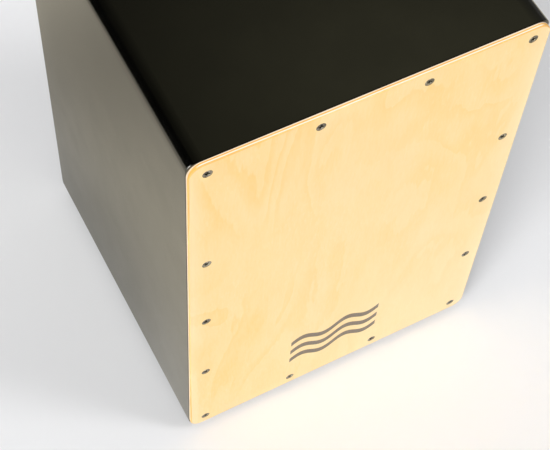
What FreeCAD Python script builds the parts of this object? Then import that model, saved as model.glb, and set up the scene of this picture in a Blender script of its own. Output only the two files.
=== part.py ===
"""Snare cajon: a box drum with a screwed plywood playing plate.

Millimetres, +Z up, playing plate towards -Y.  The origin lies on the floor,
below the centre of the whole object.
"""
import FreeCAD, Part
import math
import os

from FreeCAD import Placement, Rotation, Vector

# Overall size.
WIDTH = 300.0
DEPTH = 300.0
BODY_HEIGHT = 448.0
FOOT_HEIGHT = 9.0

# Boards of the body.  Each long edge is round, and the faces beside it roll off
# gently into it over a shoulder of a much larger radius.
PANEL = 9.0
LONG_EDGE_RADIUS = 7.0
SHOULDER_RADIUS = 110.0
SHOULDER_ANGLE = 4.0
ARRIS_RADIUS = 0.7

# Playing plate.
PLATE = 4.0
PLATE_MARGIN = 0.4
PLATE_CORNER_RADIUS = 12.0
PLATE_FRONT_ROUND = 1.2
PLATE_REAR_ROUND = 0.3

# Back board and its sound hole.
BACK = 6.0
BACK_RECESS = 1.0
BACK_ARRIS = 0.4
SOUND_HOLE_RADIUS = 60.0
SOUND_HOLE_BELOW_TOP = 160.0
SOUND_HOLE_ROUND = 1.0

# Glued battens round the front and rear openings.
FRONT_BATTEN_WIDTH = 20.0
FRONT_BATTEN_DEPTH = 18.0
REAR_BATTEN = 12.0

# Plate screws: four across, five down each side.
SCREW_SIDE_INSET = 15.3
SCREW_END_INSET = 13.0
SCREW_COLUMNS = 4
SCREW_FIRST_GAP = 129.0
SCREW_LOWER_GAPS = 3
SCREW_LENGTH = 20.0
SCREW_HEAD_RADIUS = 3.75
SCREW_HEAD_DEPTH = 2.5
SCREW_SUNK = 0.15
SCREW_CORE_RADIUS = 1.6
SCREW_CREST_RADIUS = 2.2
SCREW_PITCH = 1.8

# Cross recess of every screw: span and width as shares of the head's radius,
# depth as a share of the head's depth.
RECESS_SPAN = 1.2
RECESS_WIDTH = 0.36
RECESS_DEPTH = 0.85
PAN_RECESS_DEPTH = 0.7

# Clearance between a screw and its hole, and round other fitted pins.
SCREW_CLEARANCE = 0.1
COUNTERSINK_CLEARANCE = 0.3
PRESSED_CLEARANCE = 0.02
RUNNING_CLEARANCE = 0.05

# Rubber feet.
FOOT_INSET = 28.0
FOOT_TOP_RADIUS = 14.0
FOOT_BASE_RADIUS = 12.5
FOOT_BASE_ROUND = 1.5
FOOT_RECESS_RADIUS = 5.6
FOOT_RECESS_DEPTH = 4.0
FOOT_SCREW_LENGTH = 12.0
FOOT_SCREW_HEAD_RADIUS = 3.7
FOOT_SCREW_HEAD_HEIGHT = 2.1
FOOT_SCREW_CORE = 1.4
FOOT_SCREW_CREST = 1.9
WASHER_RADIUS = 5.2
WASHER_THICKNESS = 1.0

# Snare bar, which turns on two steel pins in cheek blocks.
BAR_BEHIND_BODY_FRONT = 45.0
BAR_BELOW_TOP = 144.0
BAR_DEPTH = 20.0
BAR_HEIGHT = 30.0
BAR_ROUND = 2.0
CHEEK_THICKNESS = 12.0
CHEEK_DEPTH = 36.0
CHEEK_HEIGHT = 54.0
CHEEK_ROUND = 3.0
CHEEK_SCREW_OFFSET = 20.0
CHEEK_SCREW_LENGTH = 18.0
CHEEK_SCREW_HEAD_RADIUS = 3.5
CHEEK_SCREW_HEAD_DEPTH = 2.2
CHEEK_SCREW_CORE = 1.3
CHEEK_SCREW_CREST = 1.75
PIN_RADIUS = 4.0
PIN_IN_CHEEK = 10.0
PIN_IN_BAR = 20.0
PIN_CHAMFER = 0.5
FRICTION_WASHER_RADIUS = 9.0
FRICTION_WASHER_GAP = 0.1

# Snare wires: two sets, each brazed to a strip that is screwed to the bar.
STRANDS_PER_SET = 10
STRAND_SPACING = 5.0
STRAND_RADIUS = 0.9
STRAND_REACH = 110.0
STRAND_START = 2.0
SET_CENTRE = 58.0
STRIP_THICKNESS = 1.0
STRIP_WIDTH = 56.0
STRIP_BELOW_AXIS = 12.0
STRIP_ABOVE_AXIS = 13.0
STRIP_CORNER = 3.0
STRIP_SCREW_SPACING = 34.0
STRIP_SCREW_DROP = 5.0
STRIP_SCREW_LENGTH = 12.0
STRIP_SCREW_HEAD_RADIUS = 3.4
STRIP_SCREW_HEAD_HEIGHT = 1.9
STRIP_SCREW_CORE = 1.2
STRIP_SCREW_CREST = 1.6
WIRE_TO_PLATE_GAP = 0.25

# Levels and faces worked out from the sizes above.
BODY_FRONT = -DEPTH / 2 + PLATE
BODY_REAR = DEPTH / 2
BODY_DEPTH = BODY_REAR - BODY_FRONT
Z_BOTTOM = FOOT_HEIGHT
Z_TOP = FOOT_HEIGHT + BODY_HEIGHT
INNER_X = WIDTH / 2 - PANEL
INNER_BOTTOM = Z_BOTTOM + PANEL
INNER_TOP = Z_TOP - PANEL
BACK_FRONT = BODY_REAR - BACK_RECESS - BACK
BAR_Y = BODY_FRONT + BAR_BEHIND_BODY_FRONT
BAR_Z = Z_TOP - BAR_BELOW_TOP
CHEEK_FACE = INNER_X - CHEEK_THICKNESS
BAR_HALF = CHEEK_FACE - WASHER_THICKNESS - FRICTION_WASHER_GAP

X_AXIS = Vector(1, 0, 0)
Y_AXIS = Vector(0, 1, 0)
Z_AXIS = Vector(0, 0, 1)
SIDES = {"left": -1, "right": 1}


def block(low, high):
    """A plain box between two corners."""
    size = [b - a for a, b in zip(low, high)]
    return Part.makeBox(size[0], size[1], size[2], Vector(*low))


def cylinder(radius, start, end):
    """A round rod from one point to another."""
    start = Vector(*start)
    run = Vector(*end) - start
    return Part.makeCylinder(radius, run.Length, start, run)


def edges_where(shape, test):
    """The edges whose end points all pass a test on (x, y, z)."""
    return [e for e in shape.Edges if all(test(v.Point) for v in e.Vertexes)]


def edges_along(shape, axis):
    """The straight edges parallel to an axis."""
    found = []
    for edge in shape.Edges:
        if len(edge.Vertexes) == 2:
            run = edge.Vertexes[1].Point - edge.Vertexes[0].Point
            if run.Length > 0 and run.cross(axis).Length < 1e-6 * run.Length:
                found.append(edge)
    return found


def revolved(points):
    """A solid of revolution about +Z from (radius, height) points."""
    corners = [Vector(r, 0, z) for r, z in points]
    face = Part.Face(Part.makePolygon(corners + [corners[0]]))
    return face.revolve(Vector(0, 0, 0), Z_AXIS, 360)


def rounded_slab(width, height, radius, thickness):
    """A slab with round corners, centred on the origin, thick towards +Y."""
    x = width / 2
    z = height / 2
    slab = Part.makeBox(width, thickness, height, Vector(-x, 0, -z))
    return slab.makeFillet(radius, edges_along(slab, Y_AXIS))


def thread_points(core, crest, start, end, pitch):
    """(radius, depth) points of a ridged shank that ends in a cone."""
    tip = 1.6 * crest
    turns = int((end - start - tip) / pitch)
    points = []
    for turn in range(turns):
        depth = start + turn * pitch
        points.append((core, depth + 0.30 * pitch))
        points.append((crest, depth + 0.55 * pitch))
        points.append((core, depth + 0.80 * pitch))
    points.append((core, end - tip))
    points.append((0, end))
    return points


def cross_recess(head, depth):
    """The cross-shaped driver recess of a head, cut down from z = 0 towards +Z."""
    span = RECESS_SPAN * head
    width = RECESS_WIDTH * head
    foot = 0.3 * span
    side = [(-span / 2, 0), (span / 2, 0), (foot / 2, depth), (-foot / 2, depth)]
    corners = [Vector(x, -width / 2, z) for x, z in side]
    blade = Part.Face(Part.makePolygon(corners + [corners[0]])).extrude(Vector(0, width, 0))
    other = blade.copy()
    other.rotate(Vector(0, 0, 0), Z_AXIS, 90)
    core = Part.makeCone(0.85 * width, 0.3 * width, depth + 0.2)
    return blade.fuse([other, core])


def countersunk_screw(head, head_depth, core, crest, length, pitch):
    """A countersunk wood screw: head face at z = 0, tip towards +Z."""
    rim = 0.25
    points = [(0, 0), (head, 0), (head, rim), (core, head_depth)]
    points += thread_points(core, crest, head_depth + 1.2, length, pitch)
    screw = revolved(points)
    return screw.cut(cross_recess(head, RECESS_DEPTH * head_depth))


def pan_screw(head, head_height, core, crest, length, pitch):
    """A pan-head screw: head top at z = 0, tip towards +Z."""
    points = [(0, 0), (0.55 * head, 0), (0.85 * head, 0.2 * head_height)]
    points += [(head, 0.55 * head_height), (head, head_height), (core, head_height)]
    points += thread_points(core, crest, head_height + 0.5, head_height + length, pitch)
    screw = revolved(points)
    return screw.cut(cross_recess(head, PAN_RECESS_DEPTH * head_height))


def countersunk_hole(head, head_depth, core, crest, length):
    """The hole that a countersunk screw fits, a little wider at its mouth."""
    gap = SCREW_CLEARANCE
    rim = head + COUNTERSINK_CLEARANCE
    mouth = [(0, -1), (rim, -1), (rim, 0.25 + gap)]
    neck = [(crest + gap, head_depth + 0.25), (crest + gap, length + gap), (0, length + gap)]
    return revolved(mouth + neck)


def straight_hole(radius, depth):
    """A plain drilled hole from z = 0 towards +Z, with clearance."""
    return Part.makeCylinder(radius + SCREW_CLEARANCE, depth)


def placed(shape, direction, position, turn=0.0):
    """A copy whose +Z points along direction and whose origin is at position."""
    spin = Rotation(Z_AXIS, turn)
    aim = Rotation(Z_AXIS, Vector(*direction))
    copy = shape.copy()
    copy.Placement = Placement(Vector(*position), aim.multiply(spin))
    return copy


def plate_screw_places():
    """(x, z) of the playing plate's screws."""
    left = -WIDTH / 2 + SCREW_SIDE_INSET
    step = (WIDTH - 2 * SCREW_SIDE_INSET) / (SCREW_COLUMNS - 1)
    columns = [left + step * i for i in range(SCREW_COLUMNS)]
    top = Z_TOP - SCREW_END_INSET
    bottom = Z_BOTTOM + SCREW_END_INSET
    second = top - SCREW_FIRST_GAP
    gap = (second - bottom) / SCREW_LOWER_GAPS
    rows = [top] + [second - gap * i for i in range(SCREW_LOWER_GAPS + 1)]
    places = []
    for x in columns:
        edge_column = x in (columns[0], columns[-1])
        for z in (rows if edge_column else (top, bottom)):
            places.append((x, z))
    return places


def cheek_screw_places():
    """(y, z) of the two screws through each cheek block."""
    return [(BAR_Y, BAR_Z + step * CHEEK_SCREW_OFFSET) for step in (-1, 1)]


def foot_places():
    """(name, x, y) of the four feet."""
    places = []
    for side, sign in SIDES.items():
        x = sign * (WIDTH / 2 - FOOT_INSET)
        places.append(("front_" + side, x, BODY_FRONT + FOOT_INSET))
        places.append(("rear_" + side, x, BODY_REAR - FOOT_INSET))
    return places


def long_edge_points():
    """Points round one long edge, as (depth from one face, depth from the other).

    They run from the first face over a shoulder, the round edge and the other
    shoulder to the second face; every second point is the middle of an arc.
    """
    turn = math.radians(SHOULDER_ANGLE)
    run = SHOULDER_RADIUS * math.sin(turn)
    drop = SHOULDER_RADIUS * (1 - math.cos(turn))
    setback = run + drop + LONG_EDGE_RADIUS * (math.cos(turn) - math.sin(turn))
    middle = setback - run + LONG_EDGE_RADIUS * (math.sin(turn) - math.sqrt(0.5))
    half = SHOULDER_RADIUS * math.sin(turn / 2)
    half_drop = SHOULDER_RADIUS * (1 - math.cos(turn / 2))
    first = [(setback, 0), (setback - half, half_drop), (setback - run, drop)]
    return first + [(middle, middle)] + [(b, a) for a, b in reversed(first)]


def body_section():
    """The outline of the body seen from the front, as a face in its front plane."""
    middle_z = (Z_TOP + Z_BOTTOM) / 2
    rounds = []
    for x_sign, z_sign in ((-1, 1), (1, 1), (1, -1), (-1, -1)):
        points = []
        for from_side, from_end in long_edge_points():
            x = x_sign * (WIDTH / 2 - from_side)
            z = middle_z + z_sign * (BODY_HEIGHT / 2 - from_end)
            points.append(Vector(x, BODY_FRONT, z))
        rounds.append(points if x_sign == z_sign else points[::-1])
    edges = []
    for index, points in enumerate(rounds):
        edges.append(Part.makeLine(rounds[index - 1][-1], points[0]))
        for start in (0, 2, 4):
            edges.append(Part.Arc(*points[start:start + 3]).toShape())
    return Part.Face(Part.Wire(edges))


def body_block():
    """The outside of the body: long edges rounded, front and rear arrises eased."""
    body = body_section().extrude(Vector(0, BODY_DEPTH, 0))
    front = edges_where(body, lambda p: abs(p.y - BODY_FRONT) < 1e-6)
    rear = edges_where(body, lambda p: abs(p.y - BODY_REAR) < 1e-6)
    return body.makeFillet(ARRIS_RADIUS, front + rear)


def board_region(direction):
    """The room of one board of the body, mitred at 45 degrees to its neighbours."""
    across = Vector(direction[0], 0, direction[1])
    along = Vector(direction[1], 0, -direction[0])
    reach = WIDTH / 2 if direction[0] else BODY_HEIGHT / 2
    span = BODY_HEIGHT / 2 if direction[0] else WIDTH / 2
    centre = Vector(0, BODY_FRONT, (Z_TOP + Z_BOTTOM) / 2)
    corners = []
    for depth, end in ((0, -1), (0, 1), (PANEL, 1), (PANEL, -1)):
        corners.append(centre + across * (reach - depth) + along * (end * (span - depth)))
    section = Part.Face(Part.makePolygon(corners + [corners[0]]))
    return section.extrude(Vector(0, BODY_DEPTH, 0))


def side_panel(body, sign):
    """One side board, with the blind holes of the cheek block's screws."""
    panel = body.common(board_region((sign, 0)))
    depth = CHEEK_SCREW_LENGTH - CHEEK_THICKNESS + SCREW_CLEARANCE
    hole = straight_hole(CHEEK_SCREW_CREST, depth)
    for y, z in cheek_screw_places():
        panel = panel.cut(placed(hole, (sign, 0, 0), (sign * INNER_X, y, z)))
    return panel


def seat_panel(body):
    """The seat board."""
    return body.common(board_region((0, 1)))


def bottom_panel(body):
    """The bottom board, with the blind holes of the foot screws."""
    panel = body.common(board_region((0, -1)))
    depth = FOOT_SCREW_LENGTH - WASHER_THICKNESS - (FOOT_HEIGHT - FOOT_RECESS_DEPTH)
    hole = straight_hole(FOOT_SCREW_CREST, depth + SCREW_CLEARANCE)
    for name, x, y in foot_places():
        panel = panel.cut(placed(hole, (0, 0, 1), (x, y, Z_BOTTOM)))
    return panel


def back_panel():
    """The back board, set into the rear opening, with its round sound hole."""
    low = (-INNER_X, BACK_FRONT, INNER_BOTTOM)
    panel = block(low, (INNER_X, BACK_FRONT + BACK, INNER_TOP))
    outside = BACK_FRONT + BACK
    rim = edges_where(panel, lambda p: abs(p.y - outside) < 1e-6)
    panel = panel.makeChamfer(BACK_ARRIS, rim)
    centre = Z_TOP - SOUND_HOLE_BELOW_TOP
    panel = panel.cut(cylinder(SOUND_HOLE_RADIUS, (0, BACK_FRONT, centre), (0, outside, centre)))
    mouth = [e for e in panel.Edges if e.Closed and abs(e.CenterOfMass.y - outside) < 1e-6]
    return panel.makeFillet(SOUND_HOLE_ROUND, mouth)


def plate_screw_hole(x, z):
    """The tool that cuts one plate screw's hole through plate and batten."""
    hole = countersunk_hole(
        SCREW_HEAD_RADIUS,
        SCREW_HEAD_DEPTH,
        SCREW_CORE_RADIUS,
        SCREW_CREST_RADIUS,
        SCREW_LENGTH,
    )
    return placed(hole, (0, 1, 0), (x, -DEPTH / 2 + SCREW_SUNK, z))


def front_plate():
    """The playing plate, a little smaller than the body and round at its corners."""
    width = WIDTH - 2 * PLATE_MARGIN
    height = BODY_HEIGHT - 2 * PLATE_MARGIN
    plate = rounded_slab(width, height, PLATE_CORNER_RADIUS, PLATE)
    plate = plate.makeFillet(PLATE_FRONT_ROUND, edges_where(plate, lambda p: p.y < 1e-6))
    rear = edges_where(plate, lambda p: p.y > PLATE - 1e-6)
    plate = plate.makeFillet(PLATE_REAR_ROUND, rear)
    plate.translate(Vector(0, -DEPTH / 2, (Z_TOP + Z_BOTTOM) / 2))
    return plate.cut([plate_screw_hole(x, z) for x, z in plate_screw_places()])


def front_battens():
    """The four battens behind the plate that its screws bite into."""
    rear = BODY_FRONT + FRONT_BATTEN_DEPTH
    low = INNER_BOTTOM + FRONT_BATTEN_WIDTH
    high = INNER_TOP - FRONT_BATTEN_WIDTH
    inside = INNER_X - FRONT_BATTEN_WIDTH
    battens = {
        "front_top_batten": block((-INNER_X, BODY_FRONT, high), (INNER_X, rear, INNER_TOP)),
        "front_bottom_batten": block((-INNER_X, BODY_FRONT, INNER_BOTTOM), (INNER_X, rear, low)),
        "front_left_batten": block((-INNER_X, BODY_FRONT, low), (-inside, rear, high)),
        "front_right_batten": block((inside, BODY_FRONT, low), (INNER_X, rear, high)),
    }
    holes = [plate_screw_hole(x, z) for x, z in plate_screw_places()]
    return {name: batten.cut(holes) for name, batten in battens.items()}


def rear_battens():
    """The four battens that the back board is glued to."""
    front = BACK_FRONT - REAR_BATTEN
    low = INNER_BOTTOM + REAR_BATTEN
    high = INNER_TOP - REAR_BATTEN
    inside = INNER_X - REAR_BATTEN
    return {
        "rear_top_batten": block((-INNER_X, front, high), (INNER_X, BACK_FRONT, INNER_TOP)),
        "rear_bottom_batten": block((-INNER_X, front, INNER_BOTTOM), (INNER_X, BACK_FRONT, low)),
        "rear_left_batten": block((-INNER_X, front, low), (-inside, BACK_FRONT, high)),
        "rear_right_batten": block((inside, front, low), (INNER_X, BACK_FRONT, high)),
    }


def plate_screws():
    """All countersunk screws of the playing plate, each stopped at its own turn."""
    screw = countersunk_screw(
        SCREW_HEAD_RADIUS,
        SCREW_HEAD_DEPTH,
        SCREW_CORE_RADIUS,
        SCREW_CREST_RADIUS,
        SCREW_LENGTH,
        SCREW_PITCH,
    )
    screws = []
    for index, (x, z) in enumerate(plate_screw_places()):
        turn = 12 + 37 * index % 90
        screws.append(placed(screw, (0, 1, 0), (x, -DEPTH / 2 + SCREW_SUNK, z), turn))
    return Part.makeCompound(screws)


def foot():
    """One tapered rubber foot standing on the origin, recessed from below."""
    outline = Part.makeCone(FOOT_BASE_RADIUS, FOOT_TOP_RADIUS, FOOT_HEIGHT)
    base = [e for e in outline.Edges if e.Closed and abs(e.CenterOfMass.z) < 1e-6]
    outline = outline.makeFillet(FOOT_BASE_ROUND, base)
    recess = Part.makeCylinder(FOOT_RECESS_RADIUS, FOOT_RECESS_DEPTH)
    bore = Part.makeCylinder(FOOT_SCREW_CREST + SCREW_CLEARANCE, FOOT_HEIGHT)
    return outline.cut([recess, bore])


def flat_washer(outer, inner, thickness):
    """A flat washer standing on the origin."""
    return Part.makeCylinder(outer, thickness).cut(Part.makeCylinder(inner, thickness))


def foot_parts():
    """The feet, and the washers and screws that hold them."""
    washer_z = FOOT_RECESS_DEPTH - WASHER_THICKNESS
    washer = flat_washer(WASHER_RADIUS, FOOT_SCREW_CREST + SCREW_CLEARANCE, WASHER_THICKNESS)
    screw = pan_screw(
        FOOT_SCREW_HEAD_RADIUS,
        FOOT_SCREW_HEAD_HEIGHT,
        FOOT_SCREW_CORE,
        FOOT_SCREW_CREST,
        FOOT_SCREW_LENGTH,
        SCREW_PITCH,
    )
    parts = {}
    washers = []
    screws = []
    for index, (name, x, y) in enumerate(foot_places()):
        parts["foot_" + name] = placed(foot(), (0, 0, 1), (x, y, 0))
        washers.append(placed(washer, (0, 0, 1), (x, y, washer_z)))
        head = (x, y, washer_z - FOOT_SCREW_HEAD_HEIGHT)
        screws.append(placed(screw, (0, 0, 1), head, 20 + 25 * index))
    parts["foot_washers"] = Part.makeCompound(washers)
    parts["foot_screws"] = Part.makeCompound(screws)
    return parts


def cheek_parts():
    """The two cheek blocks that carry the snare bar, and their screws."""
    depth = PIN_IN_CHEEK + PRESSED_CLEARANCE
    parts = {}
    screws = []
    sizes = (
        CHEEK_SCREW_HEAD_RADIUS,
        CHEEK_SCREW_HEAD_DEPTH,
        CHEEK_SCREW_CORE,
        CHEEK_SCREW_CREST,
        CHEEK_SCREW_LENGTH,
    )
    for side, sign in SIDES.items():
        ends = sorted((sign * CHEEK_FACE, sign * INNER_X))
        low = (ends[0], BAR_Y - CHEEK_DEPTH / 2, BAR_Z - CHEEK_HEIGHT / 2)
        high = (ends[1], BAR_Y + CHEEK_DEPTH / 2, BAR_Z + CHEEK_HEIGHT / 2)
        cheek = block(low, high)
        cheek = cheek.makeFillet(CHEEK_ROUND, edges_along(cheek, X_AXIS))
        mouth = (sign * CHEEK_FACE, BAR_Y, BAR_Z)
        end = (sign * (CHEEK_FACE + depth), BAR_Y, BAR_Z)
        cheek = cheek.cut(cylinder(PIN_RADIUS + RUNNING_CLEARANCE, mouth, end))
        for y, z in cheek_screw_places():
            place = (sign * CHEEK_FACE, y, z)
            cheek = cheek.cut(placed(countersunk_hole(*sizes), (sign, 0, 0), place))
            screw = countersunk_screw(*sizes, SCREW_PITCH)
            screws.append(placed(screw, (sign, 0, 0), place, 30 * len(screws)))
        parts[side + "_cheek_block"] = cheek
    parts["cheek_screws"] = Part.makeCompound(screws)
    return parts


def snare_tilt():
    """The angle in degrees that brings the wires' free ends to the plate."""
    strand_y = BAR_DEPTH / 2 + STRIP_THICKNESS + STRAND_RADIUS
    reach = BAR_BEHIND_BODY_FRONT - WIRE_TO_PLATE_GAP
    low = 0.0
    high = math.pi / 4
    for _ in range(60):
        angle = (low + high) / 2
        front = (strand_y + STRAND_RADIUS) * math.cos(angle) + STRAND_REACH * math.sin(angle)
        if front < reach:
            low = angle
        else:
            high = angle
    return math.degrees(low)


def strip_screw_places(sign):
    """Local (x, z) of the two screws of one set's strip."""
    x = sign * SET_CENTRE
    return [(x + step * STRIP_SCREW_SPACING / 2, -STRIP_SCREW_DROP) for step in (-1, 1)]


def snare_bar():
    """The wooden bar, drilled for its pins and for the strips' screws."""
    y = BAR_DEPTH / 2
    z = BAR_HEIGHT / 2
    bar = block((-BAR_HALF, -y, -z), (BAR_HALF, y, z))
    bar = bar.makeFillet(BAR_ROUND, edges_along(bar, X_AXIS))
    radius = PIN_RADIUS + PRESSED_CLEARANCE
    for sign in SIDES.values():
        inner = BAR_HALF - PIN_IN_BAR - PRESSED_CLEARANCE
        bar = bar.cut(cylinder(radius, (sign * inner, 0, 0), (sign * BAR_HALF, 0, 0)))
        hole = straight_hole(STRIP_SCREW_CREST, STRIP_SCREW_LENGTH)
        for x, drop in strip_screw_places(sign):
            bar = bar.cut(placed(hole, (0, 1, 0), (x, -y, drop)))
    return bar


def strip(sign):
    """The metal strip that one set of wires is brazed to."""
    height = STRIP_BELOW_AXIS + STRIP_ABOVE_AXIS
    plate = rounded_slab(STRIP_WIDTH, height, STRIP_CORNER, STRIP_THICKNESS)
    middle = (STRIP_ABOVE_AXIS - STRIP_BELOW_AXIS) / 2
    front = -BAR_DEPTH / 2 - STRIP_THICKNESS
    plate.translate(Vector(sign * SET_CENTRE, front, middle))
    hole = straight_hole(STRIP_SCREW_CREST, STRIP_THICKNESS)
    for x, drop in strip_screw_places(sign):
        plate = plate.cut(placed(hole, (0, 1, 0), (x, front, drop)))
    return plate


def strands(sign):
    """One set of snare strands, each a closed rod of the coil's outer size."""
    y = -BAR_DEPTH / 2 - STRIP_THICKNESS - STRAND_RADIUS
    first = sign * SET_CENTRE - STRAND_SPACING * (STRANDS_PER_SET - 1) / 2
    rods = []
    for index in range(STRANDS_PER_SET):
        x = first + STRAND_SPACING * index
        rods.append(cylinder(STRAND_RADIUS, (x, y, STRAND_START), (x, y, STRAND_REACH)))
    return Part.makeCompound(rods)


def strip_screws():
    """The pan-head screws that hold both strips to the bar."""
    screw = pan_screw(
        STRIP_SCREW_HEAD_RADIUS,
        STRIP_SCREW_HEAD_HEIGHT,
        STRIP_SCREW_CORE,
        STRIP_SCREW_CREST,
        STRIP_SCREW_LENGTH,
        SCREW_PITCH,
    )
    head = -BAR_DEPTH / 2 - STRIP_THICKNESS - STRIP_SCREW_HEAD_HEIGHT
    screws = []
    for sign in SIDES.values():
        for x, drop in strip_screw_places(sign):
            screws.append(placed(screw, (0, 1, 0), (x, head, drop), 15 + 40 * len(screws)))
    return Part.makeCompound(screws)


def pivot_pins():
    """The two steel pins pressed into the bar's ends."""
    pins = []
    for sign in SIDES.values():
        inner = sign * (BAR_HALF - PIN_IN_BAR)
        outer = sign * (CHEEK_FACE + PIN_IN_CHEEK)
        pin = cylinder(PIN_RADIUS, (inner, 0, 0), (outer, 0, 0))
        pins.append(pin.makeChamfer(PIN_CHAMFER, [e for e in pin.Edges if e.Closed]))
    return Part.makeCompound(pins)


def friction_washers():
    """The washers that the bar's ends are nipped against."""
    washer = flat_washer(
        FRICTION_WASHER_RADIUS,
        PIN_RADIUS + RUNNING_CLEARANCE,
        WASHER_THICKNESS,
    )
    washers = []
    for sign in SIDES.values():
        washers.append(placed(washer, (sign, 0, 0), (sign * BAR_HALF, 0, 0)))
    return Part.makeCompound(washers)


def snare_parts():
    """Everything that turns with the bar, tilted until the wires meet the plate."""
    parts = {
        "snare_bar": snare_bar(),
        "pivot_pins": pivot_pins(),
        "friction_washers": friction_washers(),
        "strip_screws": strip_screws(),
    }
    for side, sign in SIDES.items():
        parts[side + "_snare_strip"] = strip(sign)
        parts[side + "_snare_wires"] = strands(sign)
    tilt = snare_tilt()
    for shape in parts.values():
        shape.rotate(Vector(0, 0, 0), X_AXIS, tilt)
        shape.translate(Vector(0, BAR_Y, BAR_Z))
    return parts


def all_parts():
    """Every node's shape by name."""
    body = body_block()
    parts = {
        "seat_panel": seat_panel(body),
        "bottom_panel": bottom_panel(body),
        "back_panel": back_panel(),
        "front_plate": front_plate(),
        "plate_screws": plate_screws(),
    }
    for side, sign in SIDES.items():
        parts[side + "_side_panel"] = side_panel(body, sign)
    parts.update(front_battens())
    parts.update(rear_battens())
    parts.update(foot_parts())
    parts.update(cheek_parts())
    parts.update(snare_parts())
    return parts


def main():
    """Write one STEP file for each node."""
    os.makedirs("parts", exist_ok=True)
    for name, shape in all_parts().items():
        shape.exportStep(os.path.join("parts", name + ".step"))
        kinds = "valid" if shape.isValid() else "NOT VALID"
        print(name, len(shape.Solids), "solids", round(shape.Volume), "mm3", kinds)
    print("snare tilt", round(snare_tilt(), 3), "degrees about", (0, BAR_Y, BAR_Z))


main()
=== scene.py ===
"""Looks of the snare cajon: materials, coiled snare wires, floor, light and camera."""
import math

import bpy
from mathutils import Matrix, Vector


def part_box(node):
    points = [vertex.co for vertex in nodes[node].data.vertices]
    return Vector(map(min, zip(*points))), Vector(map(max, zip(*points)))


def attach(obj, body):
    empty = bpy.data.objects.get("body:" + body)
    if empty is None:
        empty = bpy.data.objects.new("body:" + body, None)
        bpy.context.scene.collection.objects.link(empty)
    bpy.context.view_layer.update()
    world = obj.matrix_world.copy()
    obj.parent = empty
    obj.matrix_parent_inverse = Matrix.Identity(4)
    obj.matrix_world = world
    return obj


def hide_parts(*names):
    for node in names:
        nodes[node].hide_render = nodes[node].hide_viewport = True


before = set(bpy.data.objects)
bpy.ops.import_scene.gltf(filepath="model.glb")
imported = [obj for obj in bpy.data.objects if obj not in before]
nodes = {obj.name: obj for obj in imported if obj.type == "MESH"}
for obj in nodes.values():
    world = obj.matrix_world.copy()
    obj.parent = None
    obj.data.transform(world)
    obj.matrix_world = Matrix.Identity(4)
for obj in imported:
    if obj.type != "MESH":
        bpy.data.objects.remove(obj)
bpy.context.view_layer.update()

MM = 0.001

# The plate's corners, and the inner faces of the boards round it.
plate_low, plate_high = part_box("front_plate")
seat_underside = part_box("seat_panel")[0].z
bottom_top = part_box("bottom_panel")[1].z
left_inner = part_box("left_side_panel")[1].x
right_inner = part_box("right_side_panel")[0].x
back_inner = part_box("back_panel")[0].y

# Printed ornament, placed from the plate's top left corner.
PRINT_RIGHT = 148 * MM
PRINT_DOWN = 380 * MM
PRINT_WIDTH = 92 * MM
PRINT_WAVE = 46 * MM
PRINT_RISE = 5.5 * MM
PRINT_PITCH = 17 * MM
PRINT_LINE = 8 * MM
PRINT_SOFT = 0.15 * MM

# Camera: angles in degrees, distance in metres, lens and sensor in millimetres, and the point of
# the plate that it looks at, from the plate's top left corner.
CAMERA_AZIMUTH = 31.988
CAMERA_DROP = 59.385
CAMERA_ROLL = 4.986
CAMERA_DISTANCE = 1.1272
CAMERA_LENS = 95.94
CAMERA_SENSOR = 36.0
AIM_RIGHT = 73.3 * MM
AIM_DOWN = 125.8 * MM

# Distant lights: name, azimuth, elevation, strength and angular width, with angles in degrees.
SUNS = (
    ("key", -55, 40, 2.2, 30),
    ("side", 52, 50, 0.86, 14),
    ("rear", 184, 4, 1.5, 20),
)
# The way from the object to the softbox, as a unit vector.
SOFTBOX_TOWARDS = (-0.765, -0.441, 0.469)
FLOOR_WIDTH = 12.0


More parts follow.
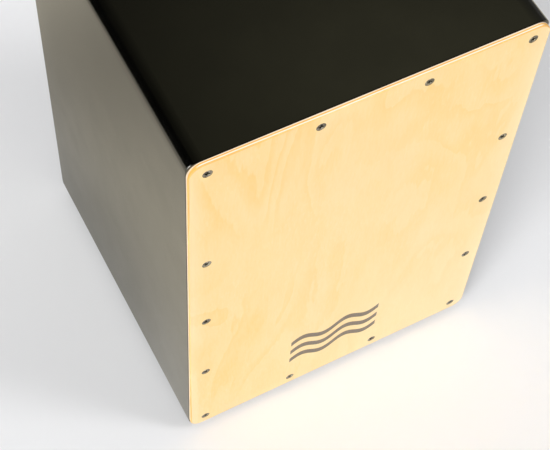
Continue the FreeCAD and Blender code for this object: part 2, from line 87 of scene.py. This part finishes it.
# ---------------------------------------------------------------- node helper
class Tree:
    """A short way to build a node tree: every call returns an output socket."""

    def __init__(self, owner):
        owner.use_nodes = True
        self.tree = owner.node_tree
        self.tree.nodes.clear()

    def node(self, kind, inputs=None, **settings):
        made = self.tree.nodes.new(kind)
        for name, value in settings.items():
            setattr(made, name, value)
        for key, value in (inputs or {}).items():
            self.feed(made.inputs[key], value)
        return made

    def feed(self, socket, value):
        if isinstance(value, bpy.types.NodeSocket):
            self.tree.links.new(value, socket)
        else:
            socket.default_value = value

    def math(self, operation, a, b=0.0, c=0.0, clamp=False):
        made = self.node("ShaderNodeMath", {0: a, 1: b, 2: c}, operation=operation)
        made.use_clamp = clamp
        return made.outputs[0]

    def coords(self, scale, location=(0, 0, 0)):
        """Object coordinates in metres, stretched by scale, then moved by location."""
        place = self.node("ShaderNodeTexCoord").outputs["Object"]
        inputs = {"Vector": place, "Scale": scale, "Location": location}
        return self.node("ShaderNodeMapping", inputs).outputs[0]

    def axes(self):
        """The x, y and z of the object coordinates."""
        place = self.node("ShaderNodeTexCoord").outputs["Object"]
        return self.node("ShaderNodeSeparateXYZ", {0: place}).outputs

    def noise(self, vector, detail, rough, distortion=0.0):
        """Smooth noise; its size is set by how the vector is stretched."""
        inputs = {
            "Vector": vector,
            "Scale": 1.0,
            "Detail": detail,
            "Roughness": rough,
            "Distortion": distortion,
        }
        return self.node("ShaderNodeTexNoise", inputs).outputs[0]

    def remap(self, value, low, high, to_low=0.0, to_high=1.0, smooth=False):
        """Carry low..high over to to_low..to_high, held at both ends."""
        inputs = {"Value": value, 1: low, 2: high, 3: to_low, 4: to_high}
        kind = "SMOOTHSTEP" if smooth else "LINEAR"
        return self.node("ShaderNodeMapRange", inputs, interpolation_type=kind).outputs[0]

    def mix(self, share, a, b):
        """Blend of two colours; share 0 gives a, share 1 gives b."""
        made = self.node("ShaderNodeMix", data_type="RGBA")
        self.feed(made.inputs["Factor"], share)
        for name, value in (("A", a), ("B", b)):
            socket = [s for s in made.inputs if s.name == name and s.type == "RGBA"][0]
            self.feed(socket, value)
        return [s for s in made.outputs if s.type == "RGBA"][0]

    def bump(self, height, strength, distance):
        inputs = {"Height": height, "Strength": strength, "Distance": distance}
        return self.node("ShaderNodeBump", inputs).outputs[0]

    def surface(self, **values):
        """The final shader; keywords are Principled inputs with _ for spaces."""
        inputs = {name.replace("_", " "): value for name, value in values.items()}
        shader = self.node("ShaderNodeBsdfPrincipled", inputs)
        self.node("ShaderNodeOutputMaterial", {"Surface": shader.outputs[0]})


def colour(red, green, blue):
    """An opaque linear colour."""
    return (red, green, blue, 1.0)


def inside(tree, value, low, high, soft=0.2 * MM):
    """1 where value lies between low and high, with a soft edge."""
    above = tree.remap(value, low - soft, low + soft)
    below = tree.remap(value, high - soft, high + soft, 1.0, 0.0)
    return tree.math("MULTIPLY", above, below)


def facing_up(tree):
    """The upward part of the surface's own normal."""
    normal = tree.node("ShaderNodeNewGeometry").outputs["Normal"]
    return tree.node("ShaderNodeSeparateXYZ", {0: normal}).outputs[2]


def print_mask(tree, x, z):
    """1 on the printed ornament at the plate's foot: three plain wavy lines."""
    middle = plate_low.x + PRINT_RIGHT
    height = plate_high.z - PRINT_DOWN
    along = tree.math("SUBTRACT", x, middle)
    wave = tree.math("SINE", tree.math("MULTIPLY", along, 2 * math.pi / PRINT_WAVE))
    level = tree.math("SUBTRACT", z, height)
    level = tree.math("SUBTRACT", level, tree.math("MULTIPLY", wave, PRINT_RISE))
    row = tree.math("ABSOLUTE", tree.math("WRAP", level, PRINT_PITCH / 2, -PRINT_PITCH / 2))
    line = tree.remap(row, PRINT_LINE / 2 - PRINT_SOFT, PRINT_LINE / 2 + PRINT_SOFT, 1.0, 0.0)
    rows = inside(tree, level, -1.5 * PRINT_PITCH, 1.5 * PRINT_PITCH)
    ends = inside(tree, along, -PRINT_WIDTH / 2, PRINT_WIDTH / 2)
    ink = tree.noise(tree.coords((900, 900, 300)), 3.0, 0.6)
    ink = tree.remap(ink, 0.25, 0.45, 0.88, 0.98)
    mask = tree.math("MULTIPLY", tree.math("MULTIPLY", line, rows), ends)
    return tree.math("MULTIPLY", mask, ink)


# ------------------------------------------------------------------ materials
def veneer_figure(t, fibre):
    """Tone of rotary-cut veneer, 0 pale to 1 deep."""
    # Wide upright bands, each pale at one edge and deeper at the other.
    field = t.noise(t.coords((8.0, 8.0, 2.9), (3.1, 0, 1.7)), 3.0, 0.45, 0.9)
    jag = t.noise(t.coords((170, 170, 24), (6, 0, 2)), 2.0, 0.55)
    turns = t.math("MULTIPLY_ADD", jag, 0.55, t.math("MULTIPLY", field, 9.0))
    ring = t.math("FRACT", turns)
    rise = t.remap(ring, 0.30, 0.92, smooth=True)
    band = t.math("MULTIPLY", rise, t.remap(ring, 0.94, 1.0, 1.0, 0.0))
    where = t.noise(t.coords((11, 11, 6), (2, 0, 9)), 2.0, 0.5)
    where = t.remap(where, 0.37, 0.57, smooth=True)
    mottle = t.noise(t.coords((38, 38, 13), (1, 0, 6)), 3.0, 0.55, 0.7)
    cloud = t.noise(t.coords((10, 10, 4), (7, 0, 4)), 3.0, 0.5, 0.8)
    # Short upright fibres, and pale flecks that gather in patches.
    grain = t.remap(fibre, 0.35, 0.65, -0.5, 0.5)
    fleck = t.noise(t.coords((420, 420, 110), (5, 0, 3)), 2.0, 0.55)
    speckled = t.noise(t.coords((13, 13, 9), (4, 0, 8)), 2.0, 0.5)
    fleck = t.math("MULTIPLY", t.remap(fleck, 0.54, 0.68), t.remap(speckled, 0.44, 0.6))
    tone = t.math("MULTIPLY_ADD", t.math("MULTIPLY", band, where), 0.50, 0.05)
    tone = t.math("MULTIPLY_ADD", t.remap(mottle, 0.35, 0.65), 0.26, tone)
    tone = t.math("MULTIPLY_ADD", t.remap(cloud, 0.36, 0.64), 0.24, tone)
    tone = t.math("MULTIPLY_ADD", grain, 0.14, tone)
    return t.math("MULTIPLY_ADD", fleck, -0.25, tone, clamp=True)


def plate_face(t, x, z, to_side, fibre):
    """Colour of the plate's front, with painted light towards its lower right and along its upright edges,
    and the printed ornament.
    """
    tone = veneer_figure(t, fibre)
    face = t.mix(tone, colour(0.935, 0.66, 0.325), colour(0.905, 0.575, 0.19))
    # Painted light: the sheet grows paler towards its lower right, where more light falls.
    lower_right_light = t.math("SUBTRACT", x, t.math("MULTIPLY", z, 0.6))
    lower_right_light = t.remap(lower_right_light, -0.30, 0.15, smooth=True)
    face = t.mix(t.math("MULTIPLY", lower_right_light, 0.45), face, colour(0.94, 0.735, 0.47))
    # A paler strip along the upright edges: a painted highlight.
    edge_highlight = t.remap(to_side, 3 * MM, 14 * MM, 0.35, 0.0)
    face = t.mix(edge_highlight, face, colour(0.95, 0.77, 0.50))
    return t.mix(print_mask(t, x, z), face, colour(0.070, 0.052, 0.044))


def plate_edge(t, face, depth, z, to_side):
    """The face colour carried round the edge: deeper arris, partly painted shade; pale veneer, with a
    painted highlight on the top edge; darker core; pale rear veneer, painted lighter where it faces up.
    """
    up = facing_up(t)
    # The arris gets a deeper colour, partly its own and partly painted shade, strongest near the corners.
    middle_z = (plate_low.z + plate_high.z) / 2
    to_end = t.math("ABSOLUTE", t.math("SUBTRACT", z, middle_z))
    to_end = t.math("SUBTRACT", plate_high.z - middle_z, to_end)
    to_corner = t.math("MULTIPLY_ADD", to_side, to_side, t.math("MULTIPLY", to_end, to_end))
    near_corner = t.remap(t.math("SQRT", to_corner), 35 * MM, 110 * MM, 1.0, 0.25)
    arris = t.math("MULTIPLY", t.remap(depth, 0.01 * MM, 0.12 * MM), near_corner)
    base = t.mix(arris, face, colour(0.84, 0.46, 0.125))
    # The glue lines waver, and on the upright edges the rear veneers start nearer to the front.
    waver = t.noise(t.coords((25, 25, 25), (0, 4, 0)), 2.0, 0.5)
    waver = t.remap(waver, 0.3, 0.7, -0.25 * MM, 0.25 * MM)
    forward = t.remap(up, 0.2, 0.95, 1.3 * MM, 0.0)
    forward = t.math("MULTIPLY", forward, t.remap(depth, 0.2 * MM, 0.8 * MM))
    layer = t.math("ADD", t.math("ADD", depth, waver), forward)
    # A pale line on the top edge only: the cut face veneer, with a painted highlight where light falls.
    top_line_and_highlight = t.remap(layer, 0.85 * MM, 1.05 * MM)
    top_line_and_highlight = t.math("MULTIPLY", top_line_and_highlight, t.remap(up, 0.88, 0.98))
    base = t.mix(top_line_and_highlight, base, colour(0.95, 0.84, 0.72))
    lines = t.remap(t.noise(t.coords((40, 2500, 40)), 2.0, 0.5), 0.4, 0.6)
    core = t.mix(lines, colour(0.86, 0.42, 0.06), colour(0.93, 0.55, 0.13))
    base = t.mix(t.remap(layer, 1.80 * MM, 1.95 * MM), base, core)
    # The rear veneer is painted lighter where it faces up: painted light.
    rear_ply_lit_on_top = t.mix(t.remap(up, 0.2, 0.95), colour(0.84, 0.65, 0.47), colour(0.95, 0.76, 0.56))
    return t.mix(t.remap(layer, 2.90 * MM, 3.05 * MM), base, rear_ply_lit_on_top)


def veneer_material():
    """Pale three-ply plate under a clear satin lacquer."""
    material = bpy.data.materials.new("birch_veneer")
    t = Tree(material)
    x, y, z = t.axes()[0:3]
    depth = t.math("SUBTRACT", y, plate_low.y)
    to_side = t.math("SUBTRACT", plate_high.x, t.math("ABSOLUTE", x))
    fibre = t.noise(t.coords((650, 650, 120)), 3.0, 0.6)
    base = plate_edge(t, plate_face(t, x, z, to_side, fibre), depth, z, to_side)
    # Painted shade: the countersinks round the screws are darkened.
    rim = 6 * MM
    countersink_shade = t.remap(depth, 0.04 * MM, 0.12 * MM)
    countersink_shade = t.math("MULTIPLY", countersink_shade, inside(t, x, plate_low.x + rim, plate_high.x - rim))
    countersink_shade = t.math("MULTIPLY", countersink_shade, inside(t, z, plate_low.z + rim, plate_high.z - rim))
    base = t.mix(countersink_shade, base, colour(0.09, 0.055, 0.022))
    # The lacquer stops at the arris; the sawn edge behind it is matt.
    sawn = t.remap(depth, 0.25 * MM, 0.55 * MM)
    t.surface(
        Base_Color=base,
        Roughness=t.math("MULTIPLY_ADD", sawn, 0.3, t.remap(fibre, 0.3, 0.7, 0.34, 0.46)),
        IOR=1.5,
        Specular_IOR_Level=t.remap(sawn, 0.0, 1.0, 0.5, 0.15),
        Coat_Weight=t.remap(sawn, 0.0, 1.0, 0.35, 0.0),
        Coat_Roughness=0.22,
        Normal=t.bump(fibre, 0.10, 0.2 * MM),
    )
    return material


def lacquer_material():
    """Black satin lacquer outside, raw fibreboard inside the box."""
    material = bpy.data.materials.new("black_lacquer")
    t = Tree(material)
    x, y, z = t.axes()[0:3]
    # The mask of the raw board reaches a little past the inner faces, so that it covers them,
    # and a little way into the sound hole.
    skin = 0.4 * MM
    hole_depth = 2 * MM
    hollow = inside(t, x, left_inner - skin, right_inner + skin)
    hollow = t.math("MULTIPLY", hollow, inside(t, z, bottom_top - skin, seat_underside + skin))
    hollow = t.math("MULTIPLY", hollow, t.math("LESS_THAN", y, back_inner + hole_depth))
    fibres = t.noise(t.coords((420, 420, 420)), 5.0, 0.7)
    raw = t.mix(t.remap(fibres, 0.3, 0.7), colour(0.25, 0.16, 0.085), colour(0.38, 0.27, 0.16))
    cloud = t.noise(t.coords((30, 30, 30)), 3.0, 0.6)
    black = t.mix(cloud, colour(0.0003, 0.0003, 0.0002), colour(0.0006, 0.0006, 0.0004))
    base = t.mix(hollow, black, raw)
    peel = t.noise(t.coords((260, 260, 260)), 2.0, 0.4)
    sheen = t.remap(cloud, 0.3, 0.7, 0.19, 0.23)
    rough = t.remap(hollow, 0.0, 1.0, sheen, 0.85)
    strength = t.remap(hollow, 0.0, 1.0, 0.02, 0.25)
    height = t.math("ADD", peel, t.math("MULTIPLY", fibres, hollow))
    normal = t.bump(height, strength, 0.4 * MM)
    t.surface(
        Base_Color=base,
        Roughness=rough,
        IOR=1.5,
        Coat_Weight=t.remap(hollow, 0.0, 1.0, 0.35, 0.0),
        Coat_Roughness=sheen,
        Normal=normal,
        Coat_Normal=normal,
    )
    return material


def timber_material(name, pale, deep, ring_scale, along):
    """Planed timber with rings and fibres along one axis (0 x, 1 y, 2 z)."""
    material = bpy.data.materials.new(name)
    t = Tree(material)
    stretch = [1.0, 1.0, 1.0]
    stretch[along] = 0.06
    slow = t.noise(t.coords([60 * s for s in stretch], (1.3, 2.1, 0.7)), 2.0, 0.5, 0.5)
    rings = t.math("SINE", t.math("MULTIPLY", slow, ring_scale))
    rings = t.remap(rings, -0.4, 1.0)
    fibre = t.noise(t.coords([900 * s for s in stretch]), 3.0, 0.6)
    tone = t.math("MULTIPLY_ADD", rings, 0.6, t.remap(fibre, 0.3, 0.7, -0.1, 0.4), clamp=True)
    base = t.mix(tone, pale, deep)
    normal = t.bump(fibre, 0.35, 0.3 * MM)
    rough = t.remap(fibre, 0.3, 0.7, 0.55, 0.75)
    t.surface(Base_Color=base, Roughness=rough, Normal=normal)
    return material


def metal_material(name, tint, rough_low, rough_high, stain=0.7, recess=None):
    """Metal with stains and fine marks; recess is the y past which a slot is painted dark as shade."""
    material = bpy.data.materials.new(name)
    t = Tree(material)
    marks = t.noise(t.coords((700, 700, 700)), 4.0, 0.65)
    cloud = t.noise(t.coords((450, 450, 450)), 2.0, 0.5)
    dull = colour(*[stain * channel for channel in tint])
    base = t.mix(t.remap(cloud, 0.40, 0.60), colour(*tint), dull)
    if recess is not None:
        # Painted shade in the slot, past the recess depth.
        slot_shade = t.remap(t.axes()[1], recess, recess + 0.3 * MM)
        base = t.mix(slot_shade, base, colour(0.015, 0.014, 0.012))
    rough = t.remap(marks, 0.3, 0.7, rough_low, rough_high)
    normal = t.bump(marks, 0.35, 0.1 * MM)
    t.surface(Base_Color=base, Metallic=1.0, Roughness=rough, Normal=normal)
    return material


def rubber_material():
    """Moulded black rubber, matt, with a fine grain and dust."""
    material = bpy.data.materials.new("foot_rubber")
    t = Tree(material)
    grain = t.noise(t.coords((1500, 1500, 1500)), 3.0, 0.6)
    dust = t.remap(t.noise(t.coords((180, 180, 180)), 4.0, 0.7), 0.45, 0.75)
    base = t.mix(dust, colour(0.012, 0.012, 0.012), colour(0.045, 0.043, 0.040))
    normal = t.bump(grain, 0.3, 0.2 * MM)
    rough = t.remap(dust, 0.0, 1.0, 0.6, 0.85)
    t.surface(Base_Color=base, Roughness=rough, Normal=normal)
    return material


def paint(names, material):
    """Give CAD nodes a material on every slot."""
    for name in names:
        slots = nodes[name].data.materials
        for index in range(len(slots)):
            slots[index] = material


# --------------------------------------------------------------- snare strands
STRANDS_PER_SET = 10
COIL_RADIUS = 0.9 * MM
WIRE_RADIUS = 0.2 * MM
COIL_PITCH = 0.8 * MM
TURN_STEPS = 9
WIRE_SIDES = 5


def coil_mesh(name, lines):
    """One mesh of closed helical wires, each wound round its own straight line."""
    points = []
    faces = []
    middle = COIL_RADIUS - WIRE_RADIUS
    for start, end in lines:
        along = (end - start).normalized()
        side = along.orthogonal().normalized()
        other = along.cross(side)
        length = (end - start).length - 2 * WIRE_RADIUS
        steps = int(length / COIL_PITCH * TURN_STEPS)
        first = len(points)
        for step in range(steps + 1):
            angle = 2 * math.pi * step / TURN_STEPS
            out = side * math.cos(angle) + other * math.sin(angle)
            centre = start + along * (WIRE_RADIUS + length * step / steps) + out * middle
            for corner in range(WIRE_SIDES):
                turn = 2 * math.pi * corner / WIRE_SIDES
                points.append(centre + (out * math.cos(turn) + along * math.sin(turn)) * WIRE_RADIUS)
        for step in range(steps):
            ring = first + step * WIRE_SIDES
            for corner in range(WIRE_SIDES):
                after = (corner + 1) % WIRE_SIDES
                low = (ring + corner, ring + after)
                faces.append((low[0], low[1], low[1] + WIRE_SIDES, low[0] + WIRE_SIDES))
        faces.append(tuple(first + corner for corner in reversed(range(WIRE_SIDES))))
        last = first + steps * WIRE_SIDES
        faces.append(tuple(last + corner for corner in range(WIRE_SIDES)))
    mesh = bpy.data.meshes.new(name)
    mesh.from_pydata(points, [], faces)
    mesh.update()
    mesh.shade_smooth()
    return mesh


def snare_tilt():
    """The lean of the wires towards the plate, read from the strand node."""
    low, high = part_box("left_snare_wires")
    return math.atan2(high.y - low.y - 2 * COIL_RADIUS, high.z - low.z)


def strand_lines(node):
    """The centre line of each rod of a strand node, from its own vertices."""
    points = [vertex.co.copy() for vertex in nodes[node].data.vertices]
    low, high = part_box(node)
    first = low.x + COIL_RADIUS
    spacing = (high.x - low.x - 2 * COIL_RADIUS) / (STRANDS_PER_SET - 1)
    tilt = snare_tilt()
    along = Vector((0, -math.sin(tilt), math.cos(tilt)))
    across = Vector((0, math.cos(tilt), math.sin(tilt)))
    lines = []
    for index in range(STRANDS_PER_SET):
        x = first + spacing * index
        rod = [point for point in points if abs(point.x - x) < 1.5 * COIL_RADIUS]
        heights = [point.dot(along) for point in rod]
        depths = [point.dot(across) for point in rod]
        middle = Vector((x, 0, 0)) + across * (min(depths) + max(depths)) / 2
        lines.append((middle + along * min(heights), middle + along * max(heights)))
    return lines


def add_snare_wires(material):
    """Coiled wires in place of the plain rods."""
    for side in ("left", "right"):
        node = side + "_snare_wires"
        wires = bpy.data.objects.new(side + "_snare_coils", coil_mesh(node, strand_lines(node)))
        bpy.context.scene.collection.objects.link(wires)
        wires.data.materials.append(material)
        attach(wires, "snare")
        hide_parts(node)


# ------------------------------------------------------------------- stage
def add_floor():
    """A plain pale floor; what the lacquer mirrors of it is painted."""
    bpy.ops.mesh.primitive_plane_add(size=FLOOR_WIDTH, location=(0, 0, 0))
    floor = bpy.context.object
    floor.name = "floor"
    material = bpy.data.materials.new("floor")
    t = Tree(material)
    cloud = t.noise(t.coords((2, 2, 2)), 3.0, 0.5)
    pale = t.mix(cloud, colour(0.760, 0.762, 0.775), colour(0.785, 0.787, 0.800))
    # The lacquer mirrors a painted, warmer copy of the floor, a painted reflection, with two soft shadows
    # painted beside the box's left side.
    away = t.remap(t.math("ABSOLUTE", t.axes()[0]), 0.16, 0.22)
    lit = t.mix(away, colour(0.81, 0.78, 0.71), colour(0.86, 0.79, 0.625))
    for stretch, centre, core, edge, depth in (
        ((1, 1, 1), (-0.28, 0.28, 0.0), 0.0, 0.28, 0.5),
        ((2.2, 1, 1), (-0.33, 0.07, 0.0), 0.05, 0.18, 0.34),
    ):
        place = {0: t.coords(stretch), 1: centre}
        distance = t.node("ShaderNodeVectorMath", place, operation="DISTANCE").outputs["Value"]
        shadow = t.remap(distance, core, edge, depth, 0.0, smooth=True)
        lit = t.mix(shadow, lit, colour(0, 0, 0))
    mirrored = t.node("ShaderNodeLightPath").outputs["Is Glossy Ray"]
    t.surface(Base_Color=t.mix(mirrored, pale, lit), Roughness=0.6)
    floor.data.materials.append(material)


def add_sun(name, azimuth, elevation, strength, spread):
    """A soft distant light that nothing mirrors; azimuth 0 shines from -Y, 90 from +X."""
    data = bpy.data.lights.new(name, "SUN")
    data.energy = strength
    data.angle = math.radians(spread)
    lamp = bpy.data.objects.new(name, data)
    a = math.radians(azimuth)
    e = math.radians(elevation)
    back = Vector((math.sin(a) * math.cos(e), -math.cos(a) * math.cos(e), math.sin(e)))
    lamp.rotation_euler = back.to_track_quat("Z", "Y").to_euler()
    lamp.visible_glossy = False
    bpy.context.scene.collection.objects.link(lamp)


def set_world():
    """Pale studio behind the object; the lacquer mirrors a dim room, a ceiling and a softbox."""
    world = bpy.data.worlds.new("studio")
    bpy.context.scene.world = world
    t = Tree(world)
    direction = t.node("ShaderNodeTexCoord").outputs["Generated"]
    x, y, z = t.node("ShaderNodeSeparateXYZ", {0: direction}).outputs[0:3]
    # A dim room far to the right and behind.
    room = t.remap(x, 0.50, 0.65, smooth=True)
    room = t.math("MAXIMUM", room, t.remap(y, 0.66, 0.82, smooth=True))
    mirrored = t.mix(room, colour(0.001, 0.001, 0.001), colour(0.35, 0.34, 0.31))
    # A patch of ceiling, high, behind and to the right.
    high = t.remap(z, 0.70, 0.80, smooth=True)
    behind = t.remap(y, 0.10, 0.42, smooth=True)
    ceiling = t.math("MULTIPLY", t.math("MULTIPLY", high, behind), t.remap(x, 0.155, 0.385))
    mirrored = t.mix(ceiling, mirrored, colour(0.63, 0.60, 0.37))
    # A round softbox at the left.
    towards = {0: direction, 1: SOFTBOX_TOWARDS}
    softbox = t.node("ShaderNodeVectorMath", towards, operation="DOT_PRODUCT").outputs["Value"]
    softbox = t.remap(softbox, 0.86, 0.96, smooth=True)
    mirrored = t.mix(softbox, mirrored, colour(26.0, 26.0, 24.0))
    path = t.node("ShaderNodeLightPath").outputs
    fill = t.mix(path["Is Glossy Ray"], colour(0.47, 0.47, 0.47), mirrored)
    seen = t.mix(path["Is Camera Ray"], fill, colour(0.86, 0.86, 0.86))
    background = t.node("ShaderNodeBackground", {"Color": seen, "Strength": 1.0})
    t.node("ShaderNodeOutputWorld", {"Surface": background.outputs[0]})


def add_camera():
    """The camera, looking down on the plate's upper left corner."""
    aim = Vector((plate_low.x + AIM_RIGHT, plate_low.y, plate_high.z - AIM_DOWN))
    a = math.radians(CAMERA_AZIMUTH)
    e = math.radians(CAMERA_DROP)
    ahead = Vector((math.sin(a) * math.cos(e), math.cos(a) * math.cos(e), -math.sin(e)))
    data = bpy.data.cameras.new("camera")
    data.lens = CAMERA_LENS
    data.sensor_width = CAMERA_SENSOR
    data.clip_start = 0.05
    data.clip_end = 50.0
    camera = bpy.data.objects.new("camera", data)
    roll = Matrix.Rotation(math.radians(CAMERA_ROLL), 3, "Z").to_quaternion()
    camera.rotation_euler = (ahead.to_track_quat("-Z", "Y") @ roll).to_euler()
    camera.location = aim - ahead * CAMERA_DISTANCE
    bpy.context.scene.collection.objects.link(camera)
    bpy.context.scene.camera = camera


# ------------------------------------------------------------------- build
add_camera()
add_floor()
set_world()
for sun in SUNS:
    add_sun(*sun)
bpy.context.scene.view_settings.view_transform = "Standard"

lacquer = lacquer_material()
paint(("seat_panel", "bottom_panel", "left_side_panel", "right_side_panel", "back_panel"), lacquer)
paint(("front_plate",), veneer_material())

PINE = (colour(0.70, 0.50, 0.28), colour(0.52, 0.31, 0.14))
pine_across = timber_material("pine_across", *PINE, 60.0, 0)
pine_upright = timber_material("pine_upright", *PINE, 60.0, 2)
for end in ("front", "rear"):
    paint((end + "_top_batten", end + "_bottom_batten"), pine_across)
    paint((end + "_left_batten", end + "_right_batten"), pine_upright)
BEECH = (colour(0.60, 0.38, 0.21), colour(0.50, 0.29, 0.15))
paint(("snare_bar",), timber_material("beech_bar", *BEECH, 30.0, 0))
paint(("left_cheek_block", "right_cheek_block"), timber_material("beech_block", *BEECH, 30.0, 2))

slot_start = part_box("plate_screws")[0].y + 0.05 * MM
nickel = metal_material("dark_nickel", (0.36, 0.34, 0.295), 0.22, 0.38, 0.25, slot_start)
paint(("plate_screws",), nickel)
zinc = metal_material("zinc", (0.60, 0.61, 0.63), 0.25, 0.42)
paint(("foot_washers", "foot_screws", "cheek_screws", "strip_screws"), zinc)
paint(("pivot_pins", "friction_washers"), zinc)
brass = metal_material("brass_strip", (0.75, 0.56, 0.27), 0.25, 0.40)
paint(("left_snare_strip", "right_snare_strip"), brass)
rubber = rubber_material()
for end in ("front", "rear"):
    paint(("foot_" + end + "_left", "foot_" + end + "_right"), rubber)
add_snare_wires(metal_material("spring_steel", (0.62, 0.61, 0.59), 0.2, 0.3))
